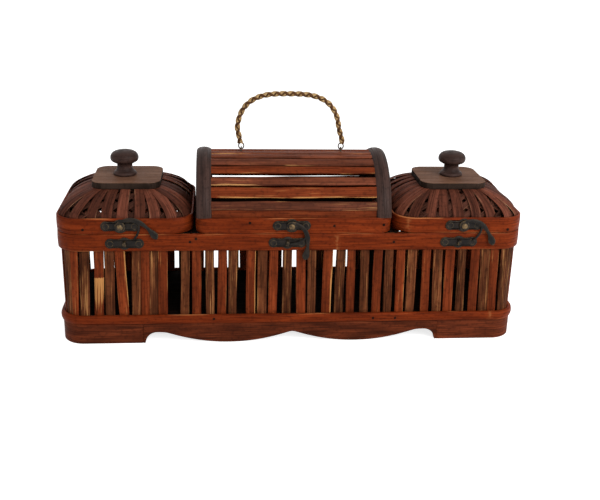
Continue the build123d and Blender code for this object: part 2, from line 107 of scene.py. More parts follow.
def put(name, points, quads, finish, body, slot, nodes, **marks):
    """One mesh piece from points in millimetres and quads. It wears the finish, rides on the body in
    place of the CAD nodes, and keeps each mark as a vector attribute of its points."""
    mesh = bpy.data.meshes.new(name)
    mesh.from_pydata((points.reshape(-1, 3) / 1000).tolist(), [], quads.tolist())
    for mark, values in marks.items():
        layer = mesh.attributes.new(mark, "FLOAT_VECTOR", "POINT")
        layer.data.foreach_set("vector", np.asarray(values, np.float32).ravel())
    mesh.materials.append(finish)
    mesh.shade_smooth()
    mesh.set_sharp_from_angle(angle=0.75)
    piece = new_object(name, mesh)
    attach(piece, body)
    if nodes:
        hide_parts(*nodes)
    return piece


def put_strips(name, section, centre, across, out, width, thick, finish, body, slot, nodes=(),
               closed=False, tone=0.5, pale=0.0, node=0.0, level=0.0):
    """Sections carried along paths: point = centre + across * width * s + out * thick * t for each (s, t)
    of the section, with half width and half thickness in millimetres. The grain mark holds the way along,
    the way across from level on, and the tone; the look mark holds bared wood, joint rings and s."""
    paths, steps = centre.shape[:2]
    width, thick, tone, node, level = (
        np.broadcast_to(value, (paths, steps))[..., None] for value in (width, thick, tone, node, level)
    )
    across, out = (np.broadcast_to(way, centre.shape) for way in (across, out))
    s, t = section.T
    points = (centre[:, :, None] + across[:, :, None] * (width * s)[..., None]
              + out[:, :, None] * (thick * t)[..., None])
    pace = np.linalg.norm(np.diff(centre, axis=1), axis=2)
    along = np.concatenate([np.zeros((paths, 1)), np.cumsum(pace, 1)], 1)[..., None]
    grain = np.stack(np.broadcast_arrays(along / 1000, (level + width * s) / 1000, tone), -1)
    look = np.stack(np.broadcast_arrays(pale, node, s), -1)
    quads = quads_of(paths, steps, len(section), closed)
    forward = np.sum(np.cross(across, out)[:, :-1] * np.diff(centre, axis=1))
    if forward < 0:
        quads = quads[:, ::-1]
    put(name, points, quads, finish, body, slot, nodes, grain=grain, look=look)


def tint(colour):
    """Linear colour of a screen colour, whose parts go from 0 to 255."""
    screen = np.array(colour) / 255
    linear = np.where(screen > 0.04045, ((screen + 0.055) / 1.055) ** 2.4, screen / 12.92)
    return (*linear.tolist(), 1.0)


def plug(tree, node, inputs):
    """Fills a shader node's inputs: one given a socket is linked to it, any other is set to the value."""
    for key, value in dict(inputs).items():
        if isinstance(value, bpy.types.NodeSocket):
            tree.links.new(value, node.inputs[key])
        else:
            node.inputs[key].default_value = value


def add(tree, kind, inputs=(), **settings):
    """Adds a shader node with its settings and inputs."""
    made = tree.nodes.new("ShaderNode" + kind)
    for key, value in settings.items():
        setattr(made, key, value)
    plug(tree, made, inputs)
    return made


def blend(tree, factor, first, second, how="MIX"):
    """Colour between two, by a factor."""
    return add(tree, "Mix", {0: factor, 6: first, 7: second}, data_type="RGBA", blend_type=how).outputs[2]


def reach(tree, value, low, high, start=0.0, stop=1.0):
    """Value between start and stop, by the share of the way from low to high, and held there."""
    ends = {"From Min": low, "From Max": high, "To Min": start, "To Max": stop}
    return add(tree, "MapRange", {"Value": value, **ends}).outputs["Result"]


def maths(tree, operation, *values):
    """Result of one maths operation on its values."""
    return add(tree, "Math", dict(enumerate(values)), operation=operation).outputs[0]


def product(tree, first, second):
    """Product of two values."""
    return maths(tree, "MULTIPLY", first, second)


def new_group(name, places, values, results):
    """Shader node group with inputs for places and values and outputs for results. Returns it, the
    sockets that its inputs come in by and the node that takes its results."""
    made = bpy.data.node_groups.new(name, "ShaderNodeTree")
    for labels, way, kind in ((places, "INPUT", "Vector"), (values, "INPUT", "Float"),
                              (results, "OUTPUT", "Float")):
        for label in labels:
            made.interface.new_socket(label, in_out=way, socket_type="NodeSocket" + kind)
    return made, made.nodes.new("NodeGroupInput").outputs, made.nodes.new("NodeGroupOutput")


# Grain that every strip and board shares: noise drawn out along the fibres, at four sizes
stretches = {"Fine": (26, 1000, 90), "Streak": (20, 1300, 50), "Cloud": (24, 170, 30),
             "Blotch": (260, 300, 40)}
fibre, fibre_in, fibre_out = new_group("Fibre", ["Grain"], [], stretches)
for label, stretch in stretches.items():
    stretched = add(fibre, "VectorMath", {0: fibre_in["Grain"], 1: stretch}, operation="MULTIPLY")
    cloud = add(fibre, "TexNoise", {"Vector": stretched.outputs[0], "Scale": 1.0, "Detail": 3.0})
    plug(fibre, fibre_out, {label: reach(fibre, cloud.outputs["Fac"], 0.32, 0.68)})

# Wear that they share: streaks and clouds, raised where a strip is marked, and along its edges, where the
# pale is partly worn wood and partly a painted highlight on the edge
wear_and_edge_highlight, wear_in, wear_out = new_group("Wear and edge highlight", [], ["Streak", "Cloud", "Marked", "Across", "Edges"], ["BaredAndEdgeLit"])
edge_wear_and_highlight = reach(wear_and_edge_highlight, maths(wear_and_edge_highlight, "ABSOLUTE", wear_in["Across"]), 0.75, 1.0)
edge_wear_and_highlight = product(wear_and_edge_highlight, edge_wear_and_highlight, wear_in["Edges"])
cloud_share = 0.4
streak_share = 0.85
raised = maths(wear_and_edge_highlight, "ADD", wear_in["Marked"], edge_wear_and_highlight)
raised = maths(wear_and_edge_highlight, "MULTIPLY_ADD", wear_in["Cloud"], cloud_share, raised)
raised = maths(wear_and_edge_highlight, "MULTIPLY_ADD", wear_in["Streak"], streak_share, raised)
plug(wear_and_edge_highlight, wear_out, {"BaredAndEdgeLit": raised})


def new_finish(name):
    """New material, with its node tree and its shader."""
    made = bpy.data.materials.new(name)
    made.use_nodes = True
    return made, made.node_tree, made.node_tree.nodes["Principled BSDF"]


def strip_finish(name, shade, light, line, pale, rough=0.5, lines=0.5, worn=(0.9, 1.2), edges=0.0,
                 tones=0.3, relief=0.25, gloss=0.04, objectwise=False):
    """Varnished strip in screen colours: clouds between shade and light, fine dark fibres, a tone of its
    own per strip, and pale wood bared in streaks, more where the strip is marked and along its edges,
    where the pale is also a painted edge highlight. Grain follows the strip, or the object's X axis on
    a plain board."""
    made, tree, shader = new_finish(name)
    if objectwise:
        grain = add(tree, "TexCoord").outputs["Object"]
    else:
        grain = add(tree, "Attribute", attribute_name="grain").outputs["Vector"]
    look = add(tree, "SeparateXYZ", {0: add(tree, "Attribute", attribute_name="look").outputs["Vector"]})
    strands = add(tree, "Group", {"Grain": grain}, node_tree=fibre)
    fine, streak, haze, blotch = (strands.outputs[label] for label in stretches)
    colour = blend(tree, haze, tint(shade), tint(light))
    colour = blend(tree, product(tree, reach(tree, fine, 0.45, 0.85), lines), colour, tint(line))
    colour = blend(tree, product(tree, reach(tree, blotch, 0.55, 1.0), 0.45), colour, tint(line))
    if not objectwise:
        own = add(tree, "SeparateXYZ", {0: grain}).outputs["Z"]
        level = reach(tree, own, 0.0, 1.0, 1 - tones, 1 + tones)
        grey = add(tree, "CombineColor", {0: level, 1: level, 2: level}).outputs[0]
        colour = blend(tree, 1.0, colour, grey, "MULTIPLY")
    bared_and_edge_lit = add(tree, "Group", {"Streak": streak, "Cloud": haze, "Marked": look.outputs["X"],
                                "Across": look.outputs["Z"], "Edges": edges}, node_tree=wear_and_edge_highlight)
    colour = blend(tree, reach(tree, bared_and_edge_lit.outputs["BaredAndEdgeLit"], *worn), colour, tint(pale))
    ringed = product(tree, look.outputs["Y"], reach(tree, blotch, 0.3, 0.9))
    colour = blend(tree, product(tree, ringed, 0.6), colour, tint(pale))
    bump = add(tree, "Bump", {"Height": fine, "Strength": relief, "Distance": 0.0004})
    plug(tree, shader, {"Base Color": colour, "Normal": bump.outputs["Normal"], "Specular IOR Level": gloss,
                        "Roughness": reach(tree, fine, 0.0, 1.0, rough - 0.08, rough + 0.2)})
    return made


skirt_wood = strip_finish("skirt_wood", (66, 28, 14), (106, 48, 26), (40, 16, 8),
                          (132, 70, 42), lines=0.7, worn=(1.05, 1.4), edges=0.2)
upright = np.array([0.0, 0.0, 1.0])
sawn_board = plank(0.06, 0.2)
wave_rise = 11.6
wave_half = 63.5
crest = 0.7
cove_end = 147.0
apron_low, apron_high = span("front_apron")
skirt_top = apron_high[2]
half_wall = (apron_high[1] - apron_low[1]) / 2
x = np.linspace(apron_low[0], apron_high[0], 260)
# The lower edge follows the lowest of two hanging arcs and a level line, softened by crest where they
# cross, and drops to the ground in a round cove at each end
arcs = wave_rise * np.stack([(x / wave_half - 1) ** 2, (x / wave_half + 1) ** 2, 0 * x + 1])
lobes = -crest * np.log(np.sum(np.exp(-arcs / crest), 0))
cove = np.sqrt(np.clip(wave_rise**2 - np.clip(np.abs(x) - cove_end + wave_rise, 0, None) ** 2, 0, None))
lower = np.clip(np.minimum(lobes, cove), 0, None)
for name, side in (("front", -1), ("rear", 1)):
    low, high = span(f"{name}_apron")
    line = np.stack([x, 0 * x + (low[1] + high[1]) / 2, (lower + skirt_top) / 2], -1)
    put_strips(f"apron_{name}", sawn_board, line[None], upright, (0, side, 0), (skirt_top - lower) / 2,
               half_wall, skirt_wood, "box", "stained_wood", [f"{name}_apron"], tone=0.4, level=line[:, 2])
foot_low, foot_high = span("left_foot_skirt")
skirt_corner = 22.0
end_thinned = 0.3
end_taper = 1.2
middle = (-2 * foot_low[0] - 2 * half_wall, 2 * foot_high[1] - 2 * half_wall, skirt_corner - half_wall)
lap = girth(*middle)
# The right foot takes a lighter tone than the left, a painted sheen on the right end
for name, tone, first, last in (("left", 0.5, lap / 2 - foot_high[0], lap + foot_high[0]),
                                ("right", 1.0, -foot_high[0], lap / 2 + foot_high[0])):
    run = np.linspace(first, last, 240)
    eased = half_wall * (1 - end_thinned * np.exp(-np.minimum(run - first, last - run) / end_taper))
    line, normal = bent_line(*middle, run)
    put_strips(f"foot_{name}", sawn_board, (line + upright * skirt_top / 2)[None], upright, normal,
               skirt_top / 2, eased, skirt_wood, "box", "stained_wood", [f"{name}_foot_skirt"], tone=tone)

# Base hoop: a thick bamboo strip bent round the foot of the slats, skin side out, standing
# proud of the box. It is nailed through the slats into the floor.
hoop_skin = strip_finish("hoop_skin", (92, 32, 9), (128, 50, 18), (58, 18, 5),
                         (164, 96, 54), rough=0.42, lines=0.6, worn=(1.15, 1.4), edges=0.4, tones=0.2)
joint_width = 2.2
joint_swell = 0.12


def centre_of(node):
    """Middle of a CAD node's box, in millimetres."""
    low, high = span(node)
    return (low + high) / 2


def put_hoop(name, node, corner, wall, body, rings, tone=0.5, crown=0.25):
    """A strip bent round a rounded rectangle and closed at the back, with its face a little crowned.
    Joint rings of the cane lie at distances from the middle of the front, and each thickens the strip by
    a bell curve."""
    low, high = span(node)
    outline = (high[0] - low[0] - wall, high[1] - low[1] - wall, corner - wall / 2)
    around = girth(*outline)
    run = around / 2 + np.linspace(0, around, int(around / 2), endpoint=False)
    line, normal = bent_line(*outline, run)
    from_front = np.mod(run + around / 2, around) - around / 2
    ring = sum((np.exp(-((from_front - at) / joint_width) ** 2) for at in rings), 0 * run)
    put_strips(name, plank(0.06, 0.35, crown), (line + centre_of(node) * (1, 0, 1))[None], upright, normal,
               (high[2] - low[2]) / 2, wall / 2 * (1 + joint_swell * ring), hoop_skin, body, "bamboo_hoop",
               [node], closed=True, tone=tone, node=ring)


base_corner = 24.0
base_wall = 4.0
put_hoop("base_band", "base_hoop", base_corner, base_wall, "box", [203], crown=0.5)

# Floor and dividers: plain boards coloured nearly black, painted shade of the closed inside, hidden but
# for the dark glimpses between slats. The floor lies inside the slats on the skirt, the dividers stand
# under the lid partings.
shaded_inner_board = strip_finish("shaded_inner_board", (16, 9, 6), (28, 16, 10), (10, 6, 4),
                           (34, 22, 15), rough=0.8, objectwise=True)


def dress(finish, *nodes):
    """Gives CAD nodes a finish and leaves their shapes alone."""
    for node in nodes:
        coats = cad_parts[node].data.materials
        coats.clear()
        coats.append(finish)


dress(shaded_inner_board, "floor_board", "left_divider", "right_divider")

# Upright slats: split bamboo, skin and pith sides out in turn, spaced by hand so that no two
# gaps match. Heads are nailed between rim hoop and lining, feet inside the base hoop.
skin_slat = strip_finish("skin_slat", (94, 37, 15), (130, 57, 27), (54, 20, 8),
                         (184, 128, 74), rough=0.42, lines=0.55, worn=(1.05, 1.3), edges=0.2, tones=0.2)
pith_slat = strip_finish("pith_slat", (68, 34, 18), (112, 62, 36), (36, 17, 8),
                         (178, 126, 76), rough=0.6, lines=0.75, worn=(0.85, 1.15), edges=0.08)
chance = np.random.default_rng(11)
sides = {"left": -1, "right": 1}
slat_low, slat_high = span("front_slats")
end_low, _ = span("left_end_slats")
slat_wall = 2.2
slat_corner = 19.9
slat_waver = 0.12
slat_bow = 0.35
slat_swell = 0.02
slat_clear = 0.1
slat_ring = (-2 * end_low[0] - slat_wall, -2 * slat_low[1] - slat_wall, slat_corner - slat_wall / 2)
slat_lap = girth(*slat_ring)
slat_steps = np.linspace(0, 1, 60)
slat_section = plank(0.1, 0.4, 0.3)


def put_slats(name, run, half, lean, finish, nodes, tone, pale=0.0):
    """Upright strips at distances run round the box, leaning by lean from foot to head. Each wavers along
    the wall, bows in and out of it and swells and narrows by sines that its place starts."""
    path = run[:, None] + lean[:, None] * (slat_steps - 0.5)
    path = path + slat_waver * np.sin(slat_steps * 5.1 + run[:, None])
    line, normal = bent_line(*slat_ring, path)
    bow = slat_bow * np.sin(slat_steps * np.pi) * np.sin(run[:, None] * 1.7)
    height = slat_low[2] + (slat_high[2] - slat_low[2]) * slat_steps
    line = line + upright * height[:, None] - normal * (slat_bow - bow)[..., None]
    rough_edge = half[:, None] * (1 + slat_swell * np.sin(slat_steps * 11 + run[:, None] * 3))
    put_strips(name, slat_section, line, np.cross(upright, normal), normal, rough_edge,
               slat_wall / 2 - slat_clear, finish, "box", "bamboo_slat", nodes,
               tone=tone[:, None], pale=pale)


front = np.array([-215.0, -203.9, -190.0, -179.6, -168.2, -154.0, -145.5, -137.0, -128.3, -106.7, -95.5,
                  -82.5, -70.5, -60.0, -42.2, -30.8, -20.0, -6.4, 7.5, 18.3, 34.0, 46.6, 57.6, 71.3, 84.4,
                  95.7, 107.5, 118.9, 133.7, 145.7, 157.7, 170.0, 183.6, 194.0, 203.4, 214.3])
skins, piths = front[0::2], front[1::2]
inward_lean = 65.0
skin_lean = chance.normal(0, 0.8, skins.size) - skins / inward_lean
# One slat leans the other way, one has lost its skin below a clean break, and three have a pale edge
leaning, chipped, pale_edged = 2, 1, [2, 7, 10]
skin_lean[leaning] = -2.2
bare = np.zeros((skins.size, slat_steps.size, len(slat_section)))
bare[chipped] = np.interp(slat_steps, [0.08, 0.3, 0.52, 0.525], [0.0, 0.6, 1.0, 0.0])[:, None]
bare[pale_edged] = 0.55 * np.clip((slat_section[:, 0] - 0.7) / 0.2, 0, 1)
put_slats("slats_front_skin", skins, chance.uniform(4.1, 4.8, skins.size), skin_lean, skin_slat,
          ["front_slats"], chance.uniform(0.2, 0.9, skins.size), bare)
put_slats("slats_front_pith", piths, chance.uniform(4.1, 4.8, piths.size),
          chance.normal(0, 0.8, piths.size) - piths / inward_lean, pith_slat, (),
          chance.uniform(0.1, 0.9, piths.size), chance.uniform(-0.12, 0.06, (piths.size, 1, 1)))

# Rear slats lap each other, but for the gaps that light comes through
gap_middle = np.array([-214.2, -201.7, -191.2, -179.8, -120.8, -90.0, -77.0, -63.8, -50.8, -12.3, -2.2,
                       11.3, 57.8, 71.0, 130.5])
gap_half = np.array([2.1, 1.0, 1.3, 0.6, 2.4, 0.6, 2.4, 0.6, 0.6, 0.9, 0.6, 2.5, 2.2, 1.1, 1.0])
wall_end = 219.5
lapped = 0.6
rear_pitch = 11.5
starts = np.concatenate([[-wall_end], gap_middle + gap_half + lapped])
stops = np.concatenate([gap_middle - gap_half - lapped, [wall_end]])
counts = np.maximum(np.round((stops - starts) / rear_pitch), 1).astype(int)
edges = [np.linspace(start, stop, count + 1) for start, stop, count in zip(starts, stops, counts)]
rear = np.concatenate([(edge[1:] + edge[:-1]) / 2 for edge in edges])
rear_half = np.concatenate([np.diff(edge) / 2 + lapped for edge in edges])
for part, finish, label, nodes in ((0, skin_slat, "skin", ["rear_slats"]), (1, pith_slat, "pith", ())):
    put_slats(f"slats_rear_{label}", slat_lap / 2 - rear[part::2], rear_half[part::2], 0 * rear[part::2],
              finish, nodes, chance.uniform(0.1, 0.9, rear[part::2].size))

# End slats run round the corners, and those at the rear corners are broader
end_pitch = 11.6
corner_half = 5.5
ends = np.arange(-5, 6) * end_pitch
for name, side in sides.items():
    places = (2 - side) * slat_lap / 4 + side * ends
    broad = np.where(ends > 3 * end_pitch, corner_half, chance.uniform(4.0, 4.7, ends.size))
    for part, finish, label in ((0, pith_slat, "pith"), (1, skin_slat, "skin")):
        chosen = places[part::2]
        put_slats(f"slats_{name}_{label}", chosen, broad[part::2], chance.normal(0, 0.6, chosen.size),
                  finish, [f"{name}_end_slats"] if part == 0 else (), chance.uniform(0.1, 0.9, chosen.size))

# Rim hoop and lining: two bent bamboo strips that clamp the slat heads between them, the
# hoop skin side out, with nails through all three layers.
rim_corner = 22.5
band_wall = 2.5
put_hoop("rim_band", "rim_hoop", rim_corner, band_wall, "box", [41.7])
# The lining takes the same nearly black colour, painted shade of the inside
dress(shaded_inner_board, "rim_lining")

# Lid bands: three bent bamboo hoops that rest on the rim with a hairline gap, each rounded
# at all of its corners, so the lids part in dark wedges.
centre_corner = 12.0
for name, corner, rings, tone in (("left", rim_corner, [], 0.45), ("centre", centre_corner, [], 0.55),
                                  ("right", rim_corner, [-52], 0.65)):
    put_hoop(f"lid_band_{name}", f"{name}_lid_hoop", corner, band_wall, f"{name}_lid", rings, tone)

# Woven domes: flat bamboo ribs fan from inside the band up to the cap plate, and two layers
# of narrow strips cross behind them on the slant, leaving small dark lozenges.
rib_cane = strip_finish("rib_cane", (76, 40, 28), (114, 63, 47), (38, 19, 13),
                        (160, 120, 90), rough=0.55, lines=0.6, worn=(1.15, 1.45), edges=0.35, tones=0.45)
# The slants are coloured darker than the ribs as painted shade, since they lie behind them
shaded_weave_cane = strip_finish("shaded_weave_cane", (54, 31, 23), (86, 50, 38), (28, 15, 10),
                          (120, 84, 60), rough=0.6, lines=0.6, worn=(1.15, 1.45), edges=0.2, tones=0.35)
band_low, band_high = span("left_lid_hoop")
rib_seat = 7.6
dome_foot = (band_high[0] - band_low[0] - rib_seat, band_high[1] - band_low[1] - rib_seat, 18.5)
dome_head = (57.0, 56.0, 8.0)
dome_rise = span("left_cap_plate")[0][2] - band_high[2]
dome_bulge = 1.5
tuck = 6.0


def unit(ways):
    """Directions of length 1."""
    return ways / np.linalg.norm(ways, axis=-1, keepdims=True)


def dome_strip(share, climb, inset):
    """Centre line and frame of strips on the dome: share is the part of the way round, climb the angle up.
    In plan the line goes straight from the foot outline to the head outline by 1 - cos(climb) ** power
    and rises by sin(climb) ** power, flatter than an ellipse. On the head the strips spread over the
    middle of each side and crowd towards the corners. Below 0 the line drops into the band."""
    quarter = np.round(share * 4) / 4
    off = (share - quarter) * 8
    foot, _ = bent_line(*dome_foot, share * girth(*dome_foot))
    head, _ = bent_line(*dome_head, (quarter + (1.5 * off - 0.5 * off**3) / 8) * girth(*dome_head))
    inward = head - foot
    power = 2 / dome_bulge
    rise = np.clip(climb, 0, np.pi / 2)[..., None]
    drop = np.clip(climb, None, 0)[..., None] * tuck
    line = (foot + inward * (1 - np.cos(rise) ** power)
            + upright * (dome_rise * np.sin(rise) ** power + drop + band_high[2]))
    ahead = unit(np.gradient(line, axis=1))
    out = unit(np.cross(np.cross(inward, upright), ahead))
    across = unit(np.cross(out, ahead))
    return line - out * np.asarray(inset)[..., None], across, np.cross(ahead, across)


rib_count = 29
slant_count = 29
slant_lean = 0.11
slant_offset = 0.36
hand_play = 0.07
corner_inset = 0.8
rib_stray = 0.004
rib_taper = 0.15
rib_half_wall = 0.45
slant_half = 3.0
slant_taper = 0.2
slant_half_wall = 0.4
rear_extra = 1.5
rib_section = plank(0.12, 0.4, 0.4)
slant_section = plank(0.15, 0.4, 0.2)
climb = np.concatenate([[-1.0], np.linspace(0, np.pi / 2, 18)])
up_share = np.clip(climb, 0, None) / (np.pi / 2)
profile, _, _ = dome_strip(np.zeros((1, climb.size)), climb[None], 0.0)
walked = np.concatenate([[0, 0], np.cumsum(np.linalg.norm(np.diff(profile[0, 1:], axis=0), axis=1))])
walked = walked / walked[-1]
for name in sides:
    place = centre_of(f"{name}_lid_hoop") * (1, 0, 0)
    around = (np.arange(rib_count) + chance.normal(0, hand_play, rib_count)) / rib_count
    share = around[:, None] + rib_stray * chance.normal(0, 1, (rib_count, 1)) * up_share
    line, across, out = dome_strip(share, np.broadcast_to(climb, share.shape), 0.0)
    lift = chance.uniform(0, 0.5, (rib_count, 1, 1)) * up_share[:, None]
    half = chance.uniform(5.0, 5.9, (rib_count, 1)) * (1 - rib_taper * up_share)
    put_strips(f"ribs_{name}", rib_section, line + place + out * lift, across, out, half, rib_half_wall,
               rib_cane, f"{name}_lid", "woven_bamboo", [f"{name}_dome_ribs"],
               tone=chance.uniform(0, 1, (rib_count, 1)))
    # Slants lie deeper at the corners and are broader at the back
    for layer, (way, inset) in enumerate(((1, 1.3), (-1, 2.2))):
        around = np.arange(slant_count) + way * slant_offset + chance.normal(0, hand_play, slant_count)
        share = around[:, None] / slant_count + way * slant_lean * walked
        deeper = inset + corner_inset * (share * 8 - 2 * np.round(share * 4)) ** 2
        line, across, out = dome_strip(share, np.broadcast_to(climb, share.shape), deeper)
        behind = np.clip(1.6 - 6 * np.abs(np.mod(share, 1) - 0.5), 0, 1)
        half = slant_half * (1 - slant_taper * up_share) + rear_extra * behind
        put_strips(f"slants_{name}_{layer}", slant_section, line + place, across, out, half,
                   slant_half_wall, shaded_weave_cane, f"{name}_lid", "woven_bamboo",
                   [f"{name}_dome_lattice"] if layer == 0 else (),
                   tone=chance.uniform(0, 1, (slant_count, 1)))

# Cap plates: flat boards with rounded corners and softened edges that cover the rib heads,
# with the grain running along the box.
plate_wood = strip_finish("plate_wood", (100, 69, 52), (126, 92, 73), (74, 49, 36),
                          (140, 108, 90), worn=(1.1, 1.4), objectwise=True)
plate_edge = strip_finish("plate_edge", (36, 27, 22), (54, 41, 34), (26, 19, 15),
                          (70, 52, 42), rough=0.7, lines=0.6, worn=(1.1, 1.4), objectwise=True)
cap_corner = 12.0
cap_points = 120
cap_inset = np.array([0.3, 0.05, 0.0, 0.0, 0.1, 0.4, 1.2])[:, None, None]
cap_level = np.array([0.0, 0.04, 0.2, 0.93, 0.98, 1.0, 1.0])[:, None, None]
sawn_rings = 4
for name in sides:
    low, high = span(f"{name}_cap_plate")
    length, depth, thick = high - low
    run = np.linspace(0, girth(length, depth, cap_corner), cap_points, endpoint=False)
    outline, normal = bent_line(length, depth, cap_corner, run)
    outline = outline + centre_of(f"{name}_cap_plate") * (1, 0, 0)
    rings = outline - normal * cap_inset + upright * (low[2] + cap_level * thick)
    board = put(f"plate_{name}", rings, quads_of(1, len(cap_level), cap_points), plate_wood, f"{name}_lid",
                "stained_wood", [f"{name}_cap_plate"])
    # The sides of each plate take a much darker colour than its top
    board.data.materials.append(plate_edge)
    side_faces = np.zeros(len(board.data.polygons), int)
    side_faces[:sawn_rings * cap_points] = 1
    board.data.polygons.foreach_set("material_index", side_faces)

# Knobs: turned from dark wood with a flared foot, a waisted neck and a flattened ball head,
# polished by handling, pegged into the cap plate.
dark_wood = strip_finish("dark_wood", (42, 28, 24), (70, 50, 44), (24, 14, 11), (96, 76, 68),
                         rough=0.42, lines=0.45, worn=(1.1, 1.5), tones=0.15, relief=0.15, gloss=0.09)
knob_radius = np.array([11.0, 11.5, 11.6, 11.1, 10.0, 8.8, 7.9, 7.5, 7.5, 8.2, 10.4, 12.4, 13.6, 14.0, 13.9,
                        13.2, 11.8, 9.6, 6.8, 3.6, 1.2])
knob_level = np.array([0.0, 0.5, 1.8, 3.0, 3.9, 5.0, 6.6, 8.6, 10.6, 11.9, 12.9, 14.0, 15.4, 17.0, 18.9,
                       20.8, 22.5, 23.8, 24.6, 24.95, 25.0])
knob_points = 64
knob_turn = np.linspace(0, 2 * np.pi, knob_points, endpoint=False)
knob_spokes = np.stack([np.cos(knob_turn), np.sin(knob_turn), 0 * knob_turn], -1)
knob_rings = knob_spokes * knob_radius[:, None, None] + upright * knob_level[:, None, None]
knob_girth = knob_turn * knob_radius.max()
knob_grain = np.stack(np.broadcast_arrays(knob_girth / 1000, knob_level[:, None] / 1000, 0.5), -1)
for name in sides:
    low, high = span(f"{name}_knob")
    rings = knob_rings + np.array([(low[0] + high[0]) / 2, 0, low[2]])
    put(f"knob_turned_{name}", rings, quads_of(1, len(knob_level), knob_points), dark_wood, f"{name}_lid",
        "dark_wood", [f"{name}_knob"], grain=knob_grain, look=0 * knob_grain)

# Vault slats: lengthwise bamboo strips over the end boards, unevenly spaced so that light
# shows through some gaps, their lower edges worn pale in places.
vault_cane = strip_finish("vault_cane", (80, 38, 21), (120, 62, 40), (46, 20, 10), (188, 136, 84),
                          rough=0.48, lines=0.6, worn=(1.0, 1.3), edges=0.12, tones=0.22, gloss=0.09)
vault_low, vault_high = span("vault_slats")
vault_spring = (band_high[1] - band_low[1]) / 2 - band_wall
vault_rise = vault_high[2] - band_high[2]
vault_radius = (vault_spring**2 + vault_rise**2) / (2 * vault_rise)
vault_axis = vault_high[2] - vault_radius
vault_half_wall = 1.0
along_box = np.array([1.0, 0.0, 0.0])


def over(turn):
    """Directions out from an axis along the box, turned from the front up and over to the back."""
    return np.stack([0 * turn, -np.cos(turn), np.sin(turn)], -1)


front_turn = np.array([14.2, 22.0, 34.2, 45.0, 57.3, 67.7, 78.0, 86.4])
front_half = np.array([4.8, 4.4, 5.3, 4.4, 4.4, 5.2, 3.4, 4.4])
front_tone = np.array([0.1, 0.05, 0.6, 0.75, 0.5, 0.5, 0.85, 0.9])
rear_turn = 180 - np.array([13.8, 24.9, 36.0, 46.0, 55.2, 64.4, 73.6, 82.6])
turn = np.radians(np.concatenate([front_turn, rear_turn]))[:, None]
vault_rear_half = 4.9
half = np.concatenate([front_half, vault_rear_half + 0 * rear_turn])[:, None]
tone = np.concatenate([front_tone, chance.uniform(0.2, 0.8, rear_turn.size)])[:, None]
cut_short = 0.5
vault_waver = 0.004
vault_swell = 0.04
vault_x = np.linspace(vault_low[0] + cut_short, vault_high[0] - cut_short, 80)
turn = turn + vault_waver * np.sin(vault_x * 0.031 + turn * 40)
# The lowest slat at the back lies askew, and the lowest at the front is sunk behind the band
askew = np.radians(1.2)
lowest = np.radians(18)
sunk_by = 1.3
turn[front_turn.size] -= askew * (vault_x - vault_low[0]) / (vault_high[0] - vault_low[0])
sunk = np.where(turn < lowest, sunk_by, 0.0)[..., None]
radial = over(turn)
axis = np.stack([vault_x, 0 * vault_x, 0 * vault_x + vault_axis], -1)
line = radial * (vault_radius - vault_half_wall - sunk) + axis
wobble = half * (1 + vault_swell * np.sin(vault_x * 0.09 + half * 31))
vault_section = plank(0.1, 0.4, 0.25, 12)
# One slat is a little worn all over, and three are worn along parts of their lower edges
lower_edge = np.clip((vault_section[:, 0] - 0.6) / 0.25, 0, 1)
bare = np.zeros(turn.shape + (len(vault_section),))
bare[1] = 0.1
for slat, depth, spots, shares in ((2, 0.45, [-80, -70, 10, 25, 40, 85], [0, 1, 1, 0, 0.8, 0.8]),
                                   (3, 0.5, [-40, -30], [1, 0]), (4, 0.35, [20, 40, 85], [0, 0.7, 1])):
    bare[slat] = depth * lower_edge * np.interp(vault_x, spots, shares)[:, None]
skin_up = np.zeros(turn.shape[0], bool)
skin_up[[0, 2, 4, 9, 11, 13, 15]] = True
for label, chosen, finish, nodes in (("skin", skin_up, skin_slat, ["vault_slats"]),
                                     ("pith", ~skin_up, vault_cane, ())):
    put_strips(f"vault_{label}", vault_section, line[chosen], np.cross(along_box, radial[chosen]),
               radial[chosen], wobble[chosen], vault_half_wall, finish, "centre_lid", "bamboo_slat", nodes,
               tone=tone[chosen], pale=bare[chosen])

# Arches: reeded half-round mouldings of dark wood bent over each end of the vault, with end
# boards set under them.
end_wood = strip_finish("end_wood", (58, 32, 21), (92, 54, 38), (34, 18, 11), (120, 76, 52),
                        lines=0.6, worn=(1.1, 1.4), objectwise=True)
arch_shoulder = -0.6
arch_half_wall = 2.2
arch_lift = 0.2
arch_seat = 1.5
reed_turns = 3.5
groove_depth = 0.07
foot_radius = vault_radius + arch_seat
reeds = np.linspace(0.97, -0.97, 48)
grooves = groove_depth * np.abs(np.sin(reeds * reed_turns * np.pi)) ** 3
reeded = np.stack([reeds, (1 - arch_shoulder) * np.sqrt(1 - reeds**2) + arch_shoulder - grooves], -1)
arch_section = np.concatenate([[(-1, -1), (1, -1), (1, arch_shoulder)], reeded, [(-1, arch_shoulder)]])
arch_foot = np.arcsin((band_high[2] - vault_axis) / foot_radius)
radial = over(np.linspace(arch_foot, np.pi - arch_foot, 90))
for name in sides:
    low, high = span(f"{name}_arch")
    line = radial * (vault_radius + arch_lift) + np.array([(low[0] + high[0]) / 2, 0, vault_axis])
    put_strips(f"arch_reeded_{name}", arch_section, line[None], along_box, radial, (high[0] - low[0]) / 2,
               arch_half_wall, dark_wood, "centre_lid", "dark_wood", [f"{name}_arch"])
    dress(end_wood, f"{name}_end_board")

# Handle fittings: an iron wire staple driven into the ridge slat at each side, and a wire
# ring that swings in it and holds the end of the grip.

